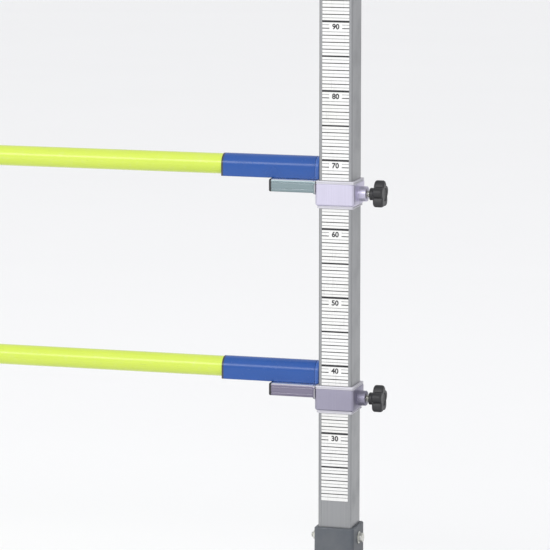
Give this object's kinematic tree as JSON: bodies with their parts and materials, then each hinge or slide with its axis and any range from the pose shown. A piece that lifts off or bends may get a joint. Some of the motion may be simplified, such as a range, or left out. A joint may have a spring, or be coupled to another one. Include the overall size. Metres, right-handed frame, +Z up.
{
  "type": "two-bar jump stand",
  "caption": "Training jump stand: round crossbars with flat-bottomed end pieces rest on clamped sliding supports, on graduated square uprights with T-shaped bases.",
  "frame": {"origin": "on the floor, midway between the two uprights", "axes": "+X along the crossbars, -Y the front with the scales, +Z up"},
  "size_m": [3.814, 0.56, 1.507],
  "materials": {
    "upright_aluminium": "satin anodised, drawn lines along the tube",
    "scale_white": "white film, black centimetre marks",
    "black_plastic": "moulded, fine grain",
    "base_paint": "powder coat, light orange peel",
    "rubber": "matt moulded rubber",
    "zinc_steel": "zinc plated",
    "slider_aluminium": "satin, slightly cool",
    "support_aluminium": "satin extrusion",
    "glide_plastic": "grey acetal",
    "bar_lime": "gel-coated glass fibre, lime",
    "end_blue": "moulded, semi-gloss",
    "end_cap_blue": "moulded, semi-gloss",
    "knob_plastic": "moulded, fine grain",
    "brass": "turned"
  },
  "bodies": {
    "stands": {"left_upright": "upright_aluminium", "left_scale_tape": "scale_white", "left_upright_cap": "black_plastic", "left_base_foot": "base_paint", "left_base_leg": "base_paint", "left_end_plugs": "black_plastic", "left_rubber_feet": "rubber", "left_socket": "base_paint", "left_gussets": "base_paint", "left_socket_bolts": "zinc_steel", "left_socket_nuts": "zinc_steel", "right_upright": "upright_aluminium", "right_scale_tape": "scale_white", "right_upright_cap": "black_plastic", "right_base_foot": "base_paint", "right_base_leg": "base_paint", "right_end_plugs": "black_plastic", "right_rubber_feet": "rubber", "right_socket": "base_paint", "right_gussets": "base_paint", "right_socket_bolts": "zinc_steel", "right_socket_nuts": "zinc_steel"},
    "lower_right_slider_unit": {"lower_right_slider": "slider_aluminium", "lower_right_glides": "glide_plastic", "lower_right_support": "support_aluminium", "lower_right_support_cap": "black_plastic"},
    "lower_right_pad": {"lower_right_pressure_pad": "brass"},
    "lower_right_screw": {"lower_right_clamp_screw": "zinc_steel", "lower_right_clamp_knob": "knob_plastic"},
    "lower_left_slider_unit": {"lower_left_slider": "slider_aluminium", "lower_left_glides": "glide_plastic", "lower_left_support": "support_aluminium", "lower_left_support_cap": "black_plastic"},
    "lower_left_pad": {"lower_left_pressure_pad": "brass"},
    "lower_left_screw": {"lower_left_clamp_screw": "zinc_steel", "lower_left_clamp_knob": "knob_plastic"},
    "lower_crossbar": {"lower_bar": "bar_lime", "lower_left_end_piece": "end_blue", "lower_right_end_piece": "end_blue", "lower_end_caps": "end_cap_blue"},
    "upper_right_slider_unit": {"upper_right_slider": "slider_aluminium", "upper_right_glides": "glide_plastic", "upper_right_support": "support_aluminium", "upper_right_support_cap": "black_plastic"},
    "upper_right_pad": {"upper_right_pressure_pad": "brass"},
    "upper_right_screw": {"upper_right_clamp_screw": "zinc_steel", "upper_right_clamp_knob": "knob_plastic"},
    "upper_left_slider_unit": {"upper_left_slider": "slider_aluminium", "upper_left_glides": "glide_plastic", "upper_left_support": "support_aluminium", "upper_left_support_cap": "black_plastic"},
    "upper_left_pad": {"upper_left_pressure_pad": "brass"},
    "upper_left_screw": {"upper_left_clamp_screw": "zinc_steel", "upper_left_clamp_knob": "knob_plastic"},
    "upper_crossbar": {"upper_bar": "bar_lime", "upper_left_end_piece": "end_blue", "upper_right_end_piece": "end_blue", "upper_end_caps": "end_cap_blue"}
  },
  "joints": [
    {"name": "lower_height", "type": "slide", "parent": "stands", "child": "lower_right_slider_unit", "axis": [0, 0, 1], "range_m": [-0.16, 0.1]},
    {"name": "lower_left_height", "type": "slide", "parent": "stands", "child": "lower_left_slider_unit", "axis": [0, 0, 1], "range_m": [-0.16, 0.1]},
    {"name": "lower_crossbar_shift", "type": "slide", "parent": "lower_right_slider_unit", "child": "lower_crossbar", "axis": [0, 1, 0], "range_m": [-0.024, 0.024]},
    {"name": "upper_height", "type": "slide", "parent": "stands", "child": "upper_right_slider_unit", "axis": [0, 0, 1], "range_m": [-0.1, 0.78]},
    {"name": "upper_left_height", "type": "slide", "parent": "stands", "child": "upper_left_slider_unit", "axis": [0, 0, 1], "range_m": [-0.1, 0.78]},
    {"name": "upper_crossbar_shift", "type": "slide", "parent": "upper_right_slider_unit", "child": "upper_crossbar", "axis": [0, 1, 0], "range_m": [-0.024, 0.024]},
    {"name": "lower_right_pad_travel", "type": "slide", "parent": "lower_right_slider_unit", "child": "lower_right_pad", "axis": [1, 0, 0], "range_m": [0, 0.0015]},
    {"name": "lower_right_clamp_turn", "type": "hinge", "parent": "lower_right_pad", "child": "lower_right_screw", "pos_m": [1.527, 0, 0.35], "axis": [1, 0, 0], "range_deg": [0, 360]},
    {"name": "lower_left_pad_travel", "type": "slide", "parent": "lower_left_slider_unit", "child": "lower_left_pad", "axis": [-1, 0, 0], "range_m": [0, 0.0015]},
    {"name": "lower_left_clamp_turn", "type": "hinge", "parent": "lower_left_pad", "child": "lower_left_screw", "pos_m": [-1.527, 0, 0.35], "axis": [-1, 0, 0], "range_deg": [0, 360]},
    {"name": "upper_right_pad_travel", "type": "slide", "parent": "upper_right_slider_unit", "child": "upper_right_pad", "axis": [1, 0, 0], "range_m": [0, 0.0015]},
    {"name": "upper_right_clamp_turn", "type": "hinge", "parent": "upper_right_pad", "child": "upper_right_screw", "pos_m": [1.527, 0, 0.65], "axis": [1, 0, 0], "range_deg": [0, 360]},
    {"name": "upper_left_pad_travel", "type": "slide", "parent": "upper_left_slider_unit", "child": "upper_left_pad", "axis": [-1, 0, 0], "range_m": [0, 0.0015]},
    {"name": "upper_left_clamp_turn", "type": "hinge", "parent": "upper_left_pad", "child": "upper_left_screw", "pos_m": [-1.527, 0, 0.65], "axis": [-1, 0, 0], "range_deg": [0, 360]}
  ],
  "couplings": [
    {"joint": "lower_left_height", "follows": "lower_height", "ratio": 1},
    {"joint": "upper_left_height", "follows": "upper_height", "ratio": 1},
    {"joint": "lower_right_clamp_turn", "follows": "lower_right_pad_travel", "rad_per_m": 4188.8},
    {"joint": "lower_left_clamp_turn", "follows": "lower_left_pad_travel", "rad_per_m": 4188.8},
    {"joint": "upper_right_clamp_turn", "follows": "upper_right_pad_travel", "rad_per_m": 4188.8},
    {"joint": "upper_left_clamp_turn", "follows": "upper_left_pad_travel", "rad_per_m": 4188.8}
  ]
}
